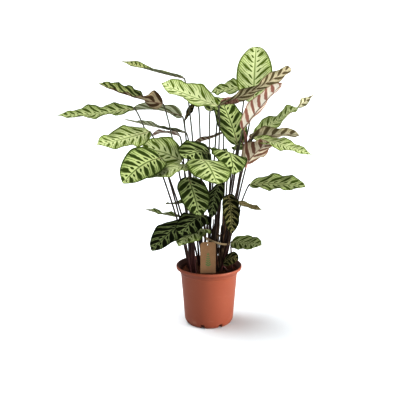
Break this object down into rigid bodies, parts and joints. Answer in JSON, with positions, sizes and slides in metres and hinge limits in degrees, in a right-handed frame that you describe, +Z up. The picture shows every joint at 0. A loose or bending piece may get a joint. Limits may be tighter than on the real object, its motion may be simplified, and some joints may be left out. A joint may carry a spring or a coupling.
{
  "type": "potted calathea",
  "caption": "Potted calathea houseplant: patterned leaf blades on slender stalks in a soil-filled terracotta-coloured nursery pot, with a kraft tag hung from a jute tie.",
  "frame": {"origin": "centre of the pot's flat bottom, where it stands", "axes": "+Z up the plant, -Y towards the front that carries the tag, +X to the right seen from the front"},
  "size_m": [0.7957, 0.4829, 0.8743],
  "materials": {
    "pot": "moulded terracotta-coloured plastic, satin",
    "soil": "moist peat potting soil with bark",
    "leaf_pale": "waxy leaf, pale green ground with dark ovals, maroon and cream underside",
    "leaf_deep": "waxy leaf, deep green ground with near-black ovals, maroon underside",
    "petiole": "smooth stalk, purple-brown at the foot and grey-green above",
    "tag": "plain kraft card",
    "jute": "twisted jute cord"
  },
  "bodies": {
    "root": {"pot": "pot", "soil": "soil", "tag": "tag", "jute_tie": "jute", "shoot_left_front": "petiole", "shoot_left_back": "petiole", "shoot_back": "petiole", "shoot_middle_front": "petiole", "shoot_middle_back": "petiole", "shoot_right_front": "petiole", "shoot_right_back": "petiole", "shoot_right_edge": "petiole", "leaf_top_1": "leaf_pale", "leaf_top_2": "leaf_pale", "leaf_top_3": "leaf_pale", "leaf_top_4": "leaf_pale", "leaf_top_5": "leaf_pale", "leaf_top_6": "leaf_pale", "leaf_top_7": "leaf_pale", "leaf_left_1": "leaf_pale", "leaf_left_2": "leaf_pale", "leaf_left_3": "leaf_pale", "leaf_left_4": "leaf_pale", "leaf_left_5": "leaf_pale", "leaf_left_6": "leaf_pale", "leaf_left_7": "leaf_pale", "leaf_left_8": "leaf_pale", "leaf_left_9": "leaf_pale", "leaf_left_10": "leaf_pale", "leaf_front_1": "leaf_pale", "leaf_front_2": "leaf_pale", "leaf_front_3": "leaf_pale", "leaf_front_4": "leaf_deep", "leaf_front_5": "leaf_deep", "leaf_front_6": "leaf_deep", "leaf_front_7": "leaf_pale", "leaf_middle_1": "leaf_pale", "leaf_back_1": "leaf_pale", "leaf_back_2": "leaf_pale", "leaf_right_1": "leaf_pale", "leaf_right_2": "leaf_pale", "leaf_right_3": "leaf_pale", "leaf_right_4": "leaf_pale", "leaf_right_5": "leaf_pale", "leaf_right_6": "leaf_deep", "leaf_low_1": "leaf_deep", "leaf_low_2": "leaf_deep", "leaf_low_3": "leaf_deep", "leaf_low_4": "leaf_deep", "leaf_low_5": "leaf_deep", "leaf_low_6": "leaf_deep", "leaf_low_7": "leaf_deep", "leaf_low_8": "leaf_deep"}
  },
  "joints": []
}
